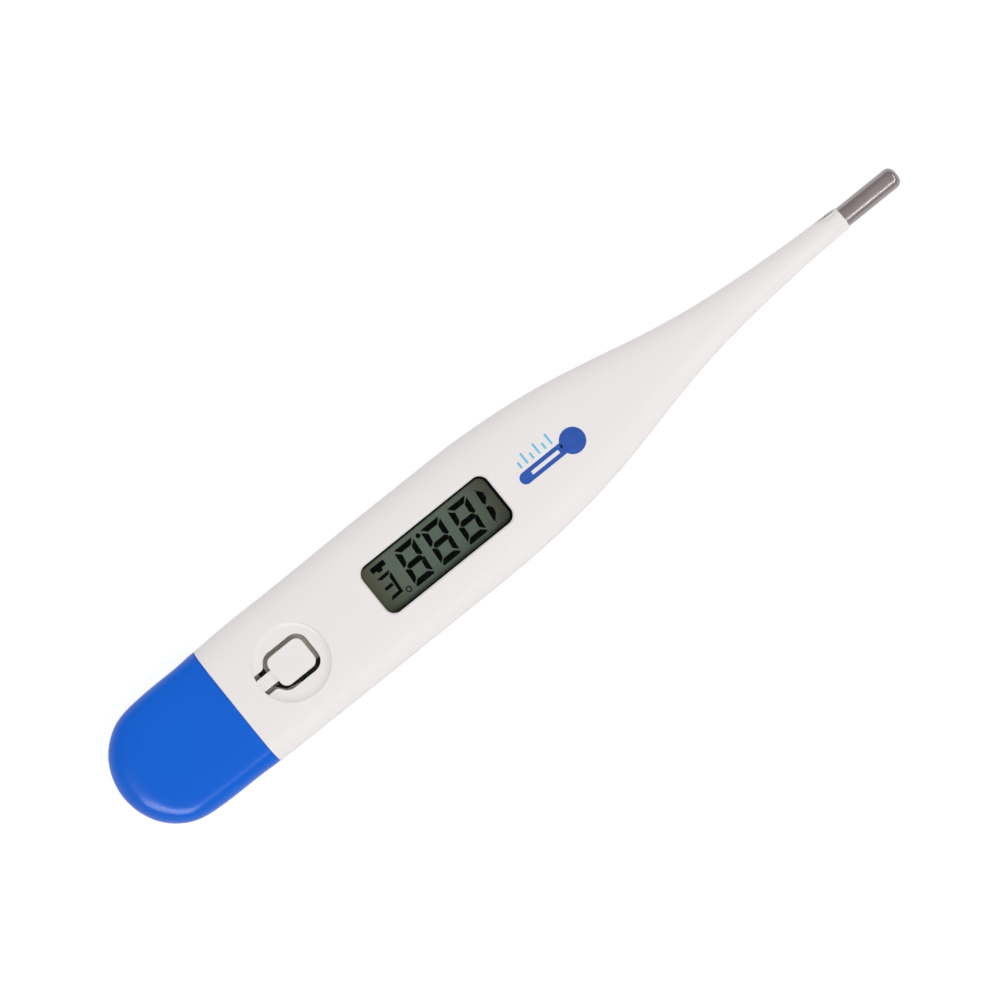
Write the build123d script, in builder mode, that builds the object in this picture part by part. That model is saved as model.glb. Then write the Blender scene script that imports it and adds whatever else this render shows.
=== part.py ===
from build123d import *

"""Pen-type digital thermometer, lying on its back.

Millimetres. +X runs from the probe tip to the battery cap and +Z out of the display face; the
display reads upright with +Y up. The origin is on the resting face, under the middle of the length.

The casing is one tube, closed all round. The carrier, with the board, display, switch, sounder and
cell on it, slides in through the mouth at the +X end. The battery cap plugs the mouth.
"""
import math
import os

# ---------------------------------------------------------------- driving dimensions
LENGTH = 127.0              # overall, probe tip to cap end
TIP_X = -LENGTH / 2
CAP_X = LENGTH / 2
AXIS_Z = 5.15               # height of the body's centre line above the table
HALF_THICKNESS = 5.25       # of the body, before the rest face is cut
WALL = 1.2                  # casing wall
SEAM_X = 44.7               # mouth of the casing, where the cap starts
STEM_X = -54.57             # end of the white stem, where the steel cap starts
REST_CUT = (200, 40)        # block cut away below the table, with its depth
REST_CUT_DEPTH = 5

# straight part of the cavity
CAVITY_X = 0.5
CAVITY_HALF_W = 7.70
CAVITY_HALF_H = HALF_THICKNESS - WALL
CAVITY_RADIUS = 3.20
CEILING = AXIS_Z + CAVITY_HALF_H

# button and the dish round it
BUTTON_X = 35.6             # centre of the finger dish
DISH_RADIUS, DISH_Z = 5.12, 9.86
PAD_LENGTH, PAD_WIDTH, PAD_RADIUS, PAD_TOP = 5.45, 4.40, 1.05, 10.26

# display window
WINDOW_X, WINDOW_LENGTH, WINDOW_WIDTH, WINDOW_RADIUS = 11.95, 20.32, 7.33, 1.38
WINDOW_TOP = 10.12

# circuit board and carrier
BOARD_BOTTOM, BOARD_TOP = 3.90, 4.70
BOARD_X0, BOARD_X1, BOARD_HALF = -7.5, 41.6, 5.80
FLOOR_BOTTOM, FLOOR_TOP = 1.45, 2.25
TAIL_TOP = 7.85

# push switch, a little off the centre line
SWITCH_X, SWITCH_Y = 35.58, -0.95
SWITCH_STEM_TOP = 8.60

# sounder
BUZZER_X = 24.0
LEAD_HOLE_X, LEAD_HOLE_Y = 27.2, 2.4     # board holes for its leads, one each side

# button cell
CELL_X, CELL_RADIUS, CELL_BOTTOM, CELL_TOP = 46.7, 3.95, 3.50, 7.10
CHAMBER_FLOOR = 2.95

# colours
WHITE, BLUE, STEEL = (0.92, 0.92, 0.91), (0.05, 0.35, 0.80), (0.70, 0.68, 0.68)
BLACK, GREEN, CLEAR = (0.03, 0.03, 0.03), (0.05, 0.22, 0.12), (0.85, 0.90, 0.90)
BRASS, CERAMIC, RED = (0.80, 0.65, 0.30), (0.90, 0.88, 0.82), (0.7, 0.1, 0.08)
RESIN, TAN, SOLDER = (0.75, 0.68, 0.5), (0.6, 0.5, 0.38), (0.75, 0.75, 0.76)
POLARISER_GREY, REFLECTOR_GREY = (0.35, 0.38, 0.35), (0.6, 0.62, 0.55)
ZEBRA_GREY, GASKET_GREY = (0.35, 0.35, 0.4), (0.85, 0.85, 0.8)

# ---------------------------------------------------------------- section tables
# casing: x, half width, half thickness, superellipse exponent
CASING_SECTIONS = [
    (SEAM_X, 8.90, 5.22, 4.1),
    (42.00, 8.98, 5.25, 4.1),
    (34.00, 9.02, 5.25, 4.1),
    (24.00, 9.04, 5.25, 4.1),
    (14.00, 9.04, 5.25, 4.1),
    (6.00, 9.00, 5.25, 4.1),
    (1.70, 8.88, 5.23, 4.1),
    (-2.30, 8.61, 5.14, 4.05),
    (-6.30, 8.20, 4.97, 3.95),
    (-10.30, 7.64, 4.71, 3.8),
    (-14.30, 6.89, 4.38, 3.6),
    (-18.30, 6.02, 3.99, 3.35),
    (-22.30, 5.10, 3.57, 3.1),
    (-26.30, 4.23, 3.16, 2.8),
    (-30.30, 3.50, 2.80, 2.55),
    (-34.30, 2.94, 2.50, 2.35),
    (-38.30, 2.52, 2.26, 2.2),
    (-42.30, 2.18, 2.05, 2.1),
    (-46.30, 1.92, 1.87, 2.03),
    (-50.30, 1.73, 1.71, 2.0),
    (STEM_X, 1.57, 1.57, 2.0),
]

# taper inside the casing, same columns: a wall inside the outer surface, then down to the bore
TAPER_SECTIONS = [
    (x, half_w - WALL, half_h - WALL, exponent)
    for x, half_w, half_h, exponent in [(3.0, 8.88, 5.23, 4.1)] + CASING_SECTIONS[7:15]
] + [
    (-34.3, 1.45, 1.22, 2.3),
    (-38.3, 0.98, 0.95, 2.0),
    (-42.3, 0.87, 0.87, 2.0),
]

# cap: distance from its end, half width, half thickness, exponent
CAP_SECTIONS = [
    (18.8, 8.87, 5.20, 4.1),
    (16.5, 8.80, 5.19, 4.1),
    (13.0, 8.76, 5.16, 4.05),
    (9.6, 8.69, 5.12, 4.0),
    (7.7, 8.55, 5.06, 3.9),
    (5.7, 8.14, 4.90, 3.7),
    (3.7, 7.12, 4.52, 3.4),
    (2.2, 5.80, 3.94, 3.1),
    (1.2, 4.42, 3.24, 2.8),
    (0.6, 3.16, 2.52, 2.5),
    (0.25, 2.06, 1.76, 2.25),
    (0.08, 1.18, 1.06, 2.1),
    (0.0, 0.34, 0.31, 2.0),
]

# hollow of the cap: x, half width, half thickness, exponent
CAP_HOLLOW_SECTIONS = [
    (45.9, 6.70, 3.05, 4.1),
    (47.5, 7.15, 3.55, 4.0),
    (50.5, 7.40, 3.85, 4.0),
    (54.0, 7.28, 3.82, 3.9),
    (57.0, 6.75, 3.60, 3.6),
    (59.4, 5.60, 3.05, 3.2),
    (61.0, 4.05, 2.25, 2.8),
    (61.8, 2.60, 1.45, 2.4),
]


# ---------------------------------------------------------------- helpers
def quarters(half_w, half_h, exponent, steps=400, count=9):
    """Four quarters of a superellipse about (0, AXIS_Z).

    Each is a list of points evenly spaced by arc length, with its end tangents.
    """
    dense = []
    for i in range(steps + 1):
        angle = math.pi / 2 * i / steps
        cos, sin = math.cos(angle), math.sin(angle)
        radius = ((cos / half_w) ** exponent + (sin / half_h) ** exponent) ** (-1 / exponent)
        dense.append((radius * cos, radius * sin))
    dense[0], dense[-1] = (half_w, 0.0), (0.0, half_h)

    run = [0.0]
    for start, end in zip(dense, dense[1:]):
        run.append(run[-1] + math.dist(start, end))

    spaced, k = [], 0
    for i in range(count):
        goal = run[-1] * i / (count - 1)
        while k < steps - 1 and run[k + 1] < goal:
            k += 1
        part = (goal - run[k]) / (run[k + 1] - run[k])
        (y0, z0), (y1, z1) = dense[k], dense[k + 1]
        spaced.append((y0 + part * (y1 - y0), z0 + part * (z1 - z0)))

    # sign of y, sign of z, start and end tangents
    corners = [
        (1, 1, ((0, 1), (-1, 0))),
        (-1, 1, ((-1, 0), (0, -1))),
        (-1, -1, ((0, -1), (1, 0))),
        (1, -1, ((1, 0), (0, 1))),
    ]
    result = []
    for sign_y, sign_z, tangents in corners:
        points = [(sign_y * y, AXIS_Z + sign_z * z) for y, z in spaced]
        if sign_y * sign_z < 0:
            points.reverse()
        result.append((points, tangents))
    return result


def lofted(sections):
    """Solid through superellipses, given as x, half width, half thickness, exponent."""
    with BuildPart() as body:
        for x, half_w, half_h, exponent in sections:
            with BuildSketch(Plane.YZ.offset(x)):
                with BuildLine():
                    for points, ends in quarters(half_w, half_h, exponent):
                        Spline(*points, tangents=ends)
                make_face()
        loft()
    return body.part


def strip(points, thickness):
    """Outline of a bent strip whose right-hand face, looking along it, follows the points."""
    offset = []
    for i, point in enumerate(points):
        directions = []
        for start, end in zip(points[max(i - 1, 0):i + 1], points[max(i, 1):i + 2]):
            length = math.dist(start, end)
            directions.append(((end[0] - start[0]) / length, (end[1] - start[1]) / length))
        normal_x = sum(-d[1] for d in directions) / len(directions)
        normal_y = sum(d[0] for d in directions) / len(directions)
        scale = thickness / (normal_x * normal_x + normal_y * normal_y)
        offset.append((point[0] + normal_x * scale, point[1] + normal_y * scale))
    return list(points) + offset[::-1]


def mirrored(half):
    """Closed outline from its half on the positive side of the first coordinate."""
    return half + [(-y, z) for y, z in reversed(half)]


def plate(centre, size, bottom, top):
    """Flat rectangular plate."""
    with BuildPart() as body:
        with BuildSketch(Plane.XY.offset(bottom)):
            with Locations(centre):
                Rectangle(*size)
        extrude(amount=top - bottom)
    return body.part


def disc(centre, radius, bottom, top):
    """Flat round plate."""
    with BuildPart() as body:
        with BuildSketch(Plane.XY.offset(bottom)):
            with Locations(centre):
                Circle(radius)
        extrude(amount=top - bottom)
    return body.part


def save(part, label, colour):
    part.label = label
    part.color = Color(*colour)
    export_step(part, f"parts/{label}.step")


# ---------------------------------------------------------------- casing
NOSE_RADIUS, NOSE_END = 1.22, -58.2   # stem nose inside the steel cap
BORE_RADIUS, BORE_END = 0.80, -41.9   # lead bore, running into the taper
SLOT_GAP = 0.60                       # slot round the button pad
CHANNEL_WIDTH = 2.97                  # of the slot where the button's neck runs
CUT_Z = 8.6                           # top openings are cut from here, below the ceiling


def casing():
    outside, taper = lofted(CASING_SECTIONS), lofted(TAPER_SECTIONS)
    with BuildPart() as body:
        add(outside)
        # the edge at the mouth is eased
        fillet(body.faces().sort_by(Axis.X)[-1].edges(), 0.12)
        # nose that the steel cap is glued on
        with BuildSketch(Plane.YZ.offset(NOSE_END)):
            with Locations((0, AXIS_Z)):
                Circle(NOSE_RADIUS)
        extrude(amount=STEM_X - NOSE_END + 0.3)
        # cavity that the carrier slides in, its taper, and the lead bore
        with BuildSketch(Plane.YZ.offset(CAVITY_X)):
            with Locations((0, AXIS_Z)):
                RectangleRounded(2 * CAVITY_HALF_W, 2 * CAVITY_HALF_H, CAVITY_RADIUS)
        extrude(amount=SEAM_X + 2 - CAVITY_X, mode=Mode.SUBTRACT)
        add(taper, mode=Mode.SUBTRACT)
        with BuildSketch(Plane.YZ.offset(NOSE_END - 1)):
            with Locations((0, AXIS_Z)):
                Circle(BORE_RADIUS)
        extrude(amount=BORE_END - (NOSE_END - 1), mode=Mode.SUBTRACT)
        # flat rest face on the back
        with BuildSketch(Plane.XY):
            Rectangle(*REST_CUT)
        extrude(amount=-REST_CUT_DEPTH, mode=Mode.SUBTRACT)
        # finger dish, its rim curving up
        rim_x, above = BUTTON_X + DISH_RADIUS, 12
        curve_start = (rim_x - 1.05, DISH_Z + 0.03)
        curve_end = (rim_x, DISH_Z + 0.46)
        with BuildSketch(Plane.XZ):
            with BuildLine():
                Polyline((rim_x, above), (BUTTON_X, above), (BUTTON_X, DISH_Z), curve_start)
                ThreePointArc(curve_start, (rim_x - 0.40, DISH_Z + 0.16), curve_end)
                Line(curve_end, (rim_x, above))
            make_face()
        revolve(axis=Axis((BUTTON_X, 0, 0), (0, 0, 1)), mode=Mode.SUBTRACT)
        # keyhole opening that leaves a slot round the button
        with BuildSketch(Plane.XY.offset(CUT_Z)) as keyhole:
            with Locations((BUTTON_X, 0)):
                RectangleRounded(
                    PAD_LENGTH + 2 * SLOT_GAP, PAD_WIDTH + 2 * SLOT_GAP, PAD_RADIUS + SLOT_GAP
                )
            with Locations((BUTTON_X + 3.6, 0)):
                Rectangle(3.2, CHANNEL_WIDTH)
            inner = [
                v for v in keyhole.vertices()
                if abs(abs(v.Y) - CHANNEL_WIDTH / 2) < 1e-3 and v.X < BUTTON_X + 4.5
            ]
            fillet(inner, 0.8)
            with Locations((BUTTON_X, 0)):
                Circle(DISH_RADIUS, mode=Mode.INTERSECT)
        extrude(amount=1.9, mode=Mode.SUBTRACT)
        # display window, with a bevelled rim
        with BuildSketch(Plane.XY.offset(CUT_Z)):
            with Locations((WINDOW_X, 0)):
                RectangleRounded(WINDOW_LENGTH, WINDOW_WIDTH, WINDOW_RADIUS)
        extrude(amount=3, mode=Mode.SUBTRACT)
        rim = [
            edge for edge in body.edges()
            if abs(edge.center().X - WINDOW_X) < WINDOW_LENGTH / 2 + 0.1
            and abs(edge.center().Y) < WINDOW_WIDTH / 2 + 0.1
            and edge.bounding_box().min.Z > 10.2
            and edge.center().X < BUTTON_X - DISH_RADIUS - 0.5
        ]
        chamfer(rim, 0.20)
    return body.part


def display_window():
    with BuildPart() as body:
        with BuildSketch(Plane.XY.offset(CEILING)):
            with Locations((WINDOW_X, 0)):
                RectangleRounded(WINDOW_LENGTH, WINDOW_WIDTH, WINDOW_RADIUS)
        extrude(amount=WINDOW_TOP - CEILING)
    return body.part


# ---------------------------------------------------------------- probe
PROBE_AXIS = Axis((0, 0, AXIS_Z), (1, 0, 0))
TIP_RADIUS, TIP_WALL = 1.435, 0.18       # steel probe cap
BEAD_TIP, BEAD_END = -62.9, -61.4
ADHESIVE_X, ADHESIVE_LENGTH, ADHESIVE_RADIUS = -63.0, 2.9, 1.02
WIRE_RADIUS = 0.15
WIRE_PAD_Y = 1.2                         # where the two wires meet the board, each side

# route of the wires: x, half their spacing, sideways shift of the pair, z
WIRE_ROUTE = [
    (BEAD_END, 0.32, 0, AXIS_Z),
    (-55.0, 0.36, 0, AXIS_Z),
    (-48.0, 0.36, 0, AXIS_Z),
    (-41.0, 0.36, 0, AXIS_Z),
    (-35.0, 0.42, 0, AXIS_Z - 0.05),
    (-30.0, 0.45, 0.5, AXIS_Z - 0.2),
    (-25.5, 0.45, 1.3, AXIS_Z - 0.4),
    (-20.5, 0.5, -0.2, AXIS_Z - 0.3),
    (-15.5, 0.6, -1.4, AXIS_Z),
    (-11.0, 0.9, -0.4, AXIS_Z + 0.1),
    (-8.0, 1.15, 0, BOARD_TOP + 0.22),
    (-6.2, WIRE_PAD_Y, 0, BOARD_TOP + 0.17),
]


def probe_tip():
    def at(along, radius):
        return (TIP_X + along, AXIS_Z + radius)

    inner_radius = TIP_RADIUS - TIP_WALL
    with BuildPart() as body:
        with BuildSketch(Plane.XZ):
            with BuildLine():
                Line(at(0, 0), at(0.05, 0.50))
                ThreePointArc(at(0.05, 0.50), at(0.33, 1.16), at(0.98, TIP_RADIUS))
                Polyline(
                    at(0.98, TIP_RADIUS), (STEM_X, AXIS_Z + TIP_RADIUS),
                    (STEM_X, AXIS_Z + inner_radius), at(0.98, inner_radius),
                )
                ThreePointArc(at(0.98, inner_radius), at(0.46, 1.03), at(0.24, 0.45))
                Polyline(at(0.24, 0.45), at(0.22, 0), at(0, 0))
            make_face()
        revolve(axis=PROBE_AXIS)
    return body.part


def thermistor_bead():
    shoulder = (-62.2, AXIS_Z + 0.68)
    with BuildPart() as body:
        with BuildSketch(Plane.XZ):
            with BuildLine():
                ThreePointArc((BEAD_TIP, AXIS_Z), (-62.7, AXIS_Z + 0.48), shoulder)
                Polyline(
                    shoulder, (BEAD_END, AXIS_Z + 0.62), (BEAD_END, AXIS_Z), (BEAD_TIP, AXIS_Z)
                )
            make_face()
        revolve(axis=PROBE_AXIS)
    return body.part


def lead_wires():
    with BuildPart() as body:
        for side in (1, -1):
            points = [(x, side * half + shift, z) for x, half, shift, z in WIRE_ROUTE]
            with BuildLine() as route:
                Spline(*points, tangents=((1, 0, 0), (1, 0, 0)))
            with BuildSketch(Plane(origin=points[0], x_dir=(0, 1, 0), z_dir=(1, 0, 0))):
                Circle(WIRE_RADIUS)
            sweep(path=route.wires()[0], is_frenet=True)
    return body.part


def tip_adhesive(bead, wires):
    with BuildPart() as body:
        with BuildSketch(Plane.YZ.offset(ADHESIVE_X)):
            with Locations((0, AXIS_Z)):
                Circle(ADHESIVE_RADIUS)
        extrude(amount=ADHESIVE_LENGTH)
        add(bead, mode=Mode.SUBTRACT)
        add(wires, mode=Mode.SUBTRACT)
    return body.part


# ---------------------------------------------------------------- battery cap
PLUG_GAP, PLUG_WALL = 0.07, 0.90
PLUG_DEPTH = 3.4                         # into the mouth


def battery_cap():
    outside = lofted([(CAP_X - from_end, *rest) for from_end, *rest in CAP_SECTIONS])
    hollow = lofted(CAP_HOLLOW_SECTIONS)
    bore_inset = PLUG_GAP + PLUG_WALL
    with BuildPart() as body:
        add(outside)
        fillet(body.faces().filter_by(Axis.X).sort_by(Axis.X)[0].edges(), 0.28)
        # hollow plug that goes into the mouth of the casing
        with BuildSketch(Plane.YZ.offset(SEAM_X - PLUG_DEPTH)):
            with Locations((0, AXIS_Z)):
                RectangleRounded(
                    2 * (CAVITY_HALF_W - PLUG_GAP), 2 * (CAVITY_HALF_H - PLUG_GAP),
                    CAVITY_RADIUS - PLUG_GAP,
                )
        extrude(amount=PLUG_DEPTH + 0.8)
        with BuildSketch(Plane.YZ.offset(SEAM_X - 4.0)):
            with Locations((0, AXIS_Z)):
                RectangleRounded(
                    2 * (CAVITY_HALF_W - bore_inset), 2 * (CAVITY_HALF_H - bore_inset),
                    CAVITY_RADIUS - bore_inset,
                )
        extrude(amount=5.4, mode=Mode.SUBTRACT)
        add(hollow, mode=Mode.SUBTRACT)
        # flat rest face
        with BuildSketch(Plane.XY):
            Rectangle(*REST_CUT)
        extrude(amount=-REST_CUT_DEPTH, mode=Mode.SUBTRACT)
    return body.part


# ---------------------------------------------------------------- button
NECK_WIDTH, NECK_START, NECK_END = 1.72, BUTTON_X + 2.0, 40.66
NIB_RADIUS, NIB_Z = 0.62, SWITCH_STEM_TOP + 0.06


def power_button():
    pad_end = BUTTON_X + PAD_LENGTH / 2
    neck = [
        (NECK_START, CEILING), (NECK_END, CEILING), (NECK_END, DISH_Z + 0.42),
        (NECK_END - 0.30, DISH_Z + 0.18), (NECK_END - 0.95, DISH_Z + 0.02),
        (pad_end + 0.35, DISH_Z), (pad_end - 0.1, DISH_Z + 0.3), (NECK_START, DISH_Z + 0.3),
    ]
    with BuildPart() as body:
        # pad
        with BuildSketch(Plane.XY.offset(CEILING)):
            with Locations((BUTTON_X, 0)):
                RectangleRounded(PAD_LENGTH, PAD_WIDTH, PAD_RADIUS)
        extrude(amount=PAD_TOP - CEILING)
        fillet(body.faces().sort_by(Axis.Z)[-1].edges(), 0.16)
        # neck, at the level of the dish, ending at its wall
        with BuildSketch(Plane.XZ.offset(-NECK_WIDTH / 2)):
            with BuildLine():
                Polyline(*neck, close=True)
            make_face()
        extrude(amount=NECK_WIDTH)
        # nib over the switch stem
        with BuildSketch(Plane.XY.offset(NIB_Z)):
            with Locations((SWITCH_X, SWITCH_Y)):
                Circle(NIB_RADIUS)
        extrude(amount=CEILING - NIB_Z + 0.1)
    return body.part


# ---------------------------------------------------------------- carrier
TRAY_X0, TRAY_X1 = 1.0, 41.0
RAIL_IN, RAIL_OUT, RAIL_TOP = 5.90, 6.70, 5.60
RAIL_SLOT_XS, RAIL_SLOT_Z = (9.0, 17.0, 27.5), 4.8
RIB_XS, RIB_Y = (2.0, 14.5, 32.0), 5.45
TAIL_X0, TAIL_X1, TAIL_HALF, TAIL_BOTTOM = 40.4, 55.5, 5.80, 2.45
THROUGH_Z = 1.0                          # floor holes are cut from here up
TRAY_HALF_SECTION = [                    # y, z
    (5.4, FLOOR_BOTTOM), (RAIL_OUT, 2.45), (RAIL_OUT, RAIL_TOP), (RAIL_IN, RAIL_TOP),
    (RAIL_IN, FLOOR_TOP + 0.25), (RAIL_IN - 0.3, FLOOR_TOP),
]
TAIL_HALF_SECTION = [                    # y, z
    (4.6, TAIL_BOTTOM), (TAIL_HALF, 2.90), (TAIL_HALF, 7.40), (4.6, TAIL_TOP),
]


def carrier():
    with BuildPart() as body:
        # tray: floor and two side rails
        with BuildSketch(Plane.YZ.offset(TRAY_X0)):
            with BuildLine():
                Polyline(*mirrored(TRAY_HALF_SECTION), close=True)
            make_face()
        extrude(amount=TRAY_X1 - TRAY_X0)
        # slots through the rails, which leave them springy
        with BuildSketch(Plane.XZ.offset(-10)):
            for x in RAIL_SLOT_XS:
                with Locations((x, RAIL_SLOT_Z)):
                    SlotOverall(3.6, 1.0)
        extrude(amount=20, mode=Mode.SUBTRACT)
        # ribs that the board rests on
        with BuildSketch(Plane.XY.offset(FLOOR_TOP - 0.1)):
            for x in RIB_XS:
                with Locations((x, RIB_Y), (x, -RIB_Y)):
                    Rectangle(1.4, 1.0)
        extrude(amount=BOARD_BOTTOM - FLOOR_TOP + 0.1)
        # tail for the cell
        with BuildSketch(Plane.YZ.offset(TAIL_X0)):
            with BuildLine():
                Polyline(*mirrored(TAIL_HALF_SECTION), close=True)
            make_face()
        extrude(amount=TAIL_X1 - TAIL_X0)
        # step between the tray floor and the tail
        with BuildSketch(Plane.XY.offset(FLOOR_TOP - 0.3)):
            with Locations((39.9, 0)):
                Rectangle(2.2, 11.0)
        extrude(amount=BOARD_BOTTOM - FLOOR_TOP + 0.3)
        # upright corners at the +X end of the tail
        corners = [
            edge for edge in body.edges().filter_by(Axis.Z)
            if abs(edge.center().X - TAIL_X1) < 0.01
            and abs(abs(edge.center().Y) - TAIL_HALF) < 0.01
        ]
        fillet(corners, 1.0)
        # seat for the end of the board
        with BuildSketch(Plane.XZ.offset(-10)):
            with Locations((BOARD_X1 - 1.0, (BOARD_BOTTOM + BOARD_TOP) / 2)):
                Rectangle(2.0, BOARD_TOP - BOARD_BOTTOM)
        extrude(amount=20, mode=Mode.SUBTRACT)
        # cell chamber, open at the top, and two push-out holes in its floor
        with BuildSketch(Plane.XY.offset(CHAMBER_FLOOR)):
            with Locations((CELL_X, 0)):
                Circle(CELL_RADIUS + 0.1)
        extrude(amount=6, mode=Mode.SUBTRACT)
        with BuildSketch(Plane.XY.offset(THROUGH_Z)):
            with Locations((CELL_X, 2.7), (CELL_X, -2.7)):
                Circle(0.8)
        extrude(amount=3, mode=Mode.SUBTRACT)
        # channel for the lower contact
        with BuildSketch(Plane.XY.offset(CHAMBER_FLOOR)):
            with Locations((41.8, 0)):
                Rectangle(6.0, 2.6)
        extrude(amount=BOARD_BOTTOM - CHAMBER_FLOOR, mode=Mode.SUBTRACT)
        # finger recess behind the chamber
        with BuildSketch(Plane.XY.offset(6.2)):
            with Locations((TAIL_X1, 0)):
                SlotOverall(7.4, 4.4)
        extrude(amount=3, mode=Mode.SUBTRACT)
        # opening under the sounder
        with BuildSketch(Plane.XY.offset(THROUGH_Z)):
            with Locations((BUZZER_X, 0)):
                Circle(3.6)
        extrude(amount=3, mode=Mode.SUBTRACT)
    return body.part


# ---------------------------------------------------------------- board and chips
BOARD_SIDE = [                           # x, y of the -Y side, narrower at the probe end
    (BOARD_X0, -4.2), (-1.2, -4.2), (0.4, -BOARD_HALF), (BOARD_X1, -BOARD_HALF),
]
GLOB_X, GLOB_RADIUS, GLOB_HEIGHT = 12.0, 3.0, 1.1
PROBE_CHIP_X, BUZZER_CHIP_X = -3.4, 28.9     # the two places along the board with small chips


def circuit_board():
    with BuildPart() as body:
        with BuildSketch(Plane.XY.offset(BOARD_BOTTOM)):
            with BuildLine():
                Polyline(*BOARD_SIDE, *[(x, -y) for x, y in reversed(BOARD_SIDE)], close=True)
            make_face()
            with Locations((LEAD_HOLE_X, -LEAD_HOLE_Y), (LEAD_HOLE_X, LEAD_HOLE_Y)):
                Circle(0.35, mode=Mode.SUBTRACT)
            with Locations((-5.0, 3.0)):
                Circle(0.6, mode=Mode.SUBTRACT)
        extrude(amount=BOARD_TOP - BOARD_BOTTOM)
    return body.part


def chip_glob():
    top = (GLOB_X, BOARD_TOP + GLOB_HEIGHT)
    edge = (GLOB_X + GLOB_RADIUS, BOARD_TOP)
    with BuildPart() as body:
        with BuildSketch(Plane.XZ):
            with BuildLine():
                Line((GLOB_X, BOARD_TOP), top)
                ThreePointArc(top, (GLOB_X + 1.9, BOARD_TOP + 0.78), edge)
                Line(edge, (GLOB_X, BOARD_TOP))
            make_face()
        revolve(axis=Axis((GLOB_X, 0, 0), (0, 0, 1)))
    return body.part


def chip_resistors():
    with BuildPart() as body:
        with Locations(
            (PROBE_CHIP_X, 2.0, BOARD_TOP), (PROBE_CHIP_X, 0.2, BOARD_TOP),
            (BUZZER_CHIP_X, 3.6, BOARD_TOP),
        ):
            Box(0.8, 1.6, 0.45, align=(Align.CENTER, Align.CENTER, Align.MIN))
    return body.part


def chip_capacitors():
    with BuildPart() as body:
        with Locations((PROBE_CHIP_X, -2.4, BOARD_TOP), (BUZZER_CHIP_X, -3.4, BOARD_TOP)):
            Box(1.25, 2.0, 0.9, align=(Align.CENTER, Align.CENTER, Align.MIN))
        fillet(body.edges().filter_by(Axis.Y), 0.08)
    return body.part


# ---------------------------------------------------------------- display stack
LCD_X0, LCD_X1, LCD_HALF = 0.3, 23.7, 4.80
LCD_X, LCD_LENGTH = (LCD_X0 + LCD_X1) / 2, LCD_X1 - LCD_X0
REAR_Y1 = 3.5                            # the rear glass stops here, leaving the contact ledge
POLARISER_SIZE = (21.6, 7.5)
# levels from the bottom up
REFLECTOR_Z, REAR_Z, FRONT_Z = 7.25, 7.45, 8.00
POLARISER_Z, POLARISER_TOP, FRAME_TOP = 8.55, 8.75, 8.90


def lcd_rear_glass():
    centre = (LCD_X, (REAR_Y1 - LCD_HALF) / 2)
    return plate(centre, (LCD_LENGTH, REAR_Y1 + LCD_HALF), REAR_Z, FRONT_Z)


def lcd_front_glass():
    return plate((LCD_X, 0), (LCD_LENGTH, 2 * LCD_HALF), FRONT_Z, POLARISER_Z)


def lcd_front_polariser():
    return plate((LCD_X, 0), POLARISER_SIZE, POLARISER_Z, POLARISER_TOP)


def lcd_reflector():
    return plate((LCD_X, (REAR_Y1 - LCD_HALF) / 2), (21.2, 7.9), REFLECTOR_Z, REAR_Z)


def zebra_strip():
    return plate((LCD_X, 4.2), (22.4, 1.1), BOARD_TOP, FRONT_Z)


def lcd_frame():
    with BuildPart() as body:
        with BuildSketch(Plane.XY.offset(BOARD_TOP)):
            with Locations((11.9, 0)):
                Rectangle(25.0, 11.5)
        extrude(amount=FRAME_TOP - BOARD_TOP)
        chamfer(body.faces().sort_by(Axis.Z)[-1].edges().filter_by(Axis.X), 0.9)
        # pockets for the glass and the polariser, and a sight opening in the lip
        with BuildSketch(Plane.XY.offset(BOARD_TOP)):
            with Locations((LCD_X, 0)):
                Rectangle(LCD_LENGTH, 2 * LCD_HALF)
        extrude(amount=POLARISER_Z - BOARD_TOP, mode=Mode.SUBTRACT)
        with BuildSketch(Plane.XY.offset(POLARISER_Z - 0.1)):
            with Locations((LCD_X, 0)):
                Rectangle(*POLARISER_SIZE)
        extrude(amount=POLARISER_TOP - POLARISER_Z + 0.1, mode=Mode.SUBTRACT)
        with BuildSketch(Plane.XY.offset(POLARISER_Z)):
            with Locations((12.36, 0)):
                RectangleRounded(20.36, 6.90, 1.1)
        extrude(amount=2, mode=Mode.SUBTRACT)
        # ledges that carry the ends of the rear glass
        with BuildSketch(Plane.XY.offset(BOARD_TOP)):
            with Locations((LCD_X0 + 0.5, -0.75), (LCD_X1 - 0.5, -0.75)):
                Rectangle(1.0, 8.1)
        extrude(amount=REAR_Z - BOARD_TOP)
    return body.part


# ---------------------------------------------------------------- switch
SWITCH_BASE_TOP, SWITCH_COVER_TOP = 7.70, 7.92
DOME_TOP, DOME_RADIUS, DOME_THICKNESS = 6.60, 4.25, 0.09
DOME_OUTER_ANGLE, DOME_INNER_ANGLE = 28.07, 25.65     # from the top to the rim, each face
SWITCH_STEM_BOTTOM = 6.62


def switch_base():
    with BuildPart() as body:
        with BuildSketch(Plane.XY.offset(BOARD_TOP)):
            with Locations((SWITCH_X, SWITCH_Y)):
                Rectangle(6.3, 4.7)
        extrude(amount=SWITCH_BASE_TOP - BOARD_TOP)
        # round well for the dome and stem
        with BuildSketch(Plane.XY.offset(6.1)):
            with Locations((SWITCH_X, SWITCH_Y)):
                Circle(2.1)
        extrude(amount=3, mode=Mode.SUBTRACT)
        uprights = body.edges().filter_by(Axis.Z)
        fillet(uprights.filter_by(lambda edge: abs(edge.center().X - SWITCH_X) > 3), 0.3)
    return body.part


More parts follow.
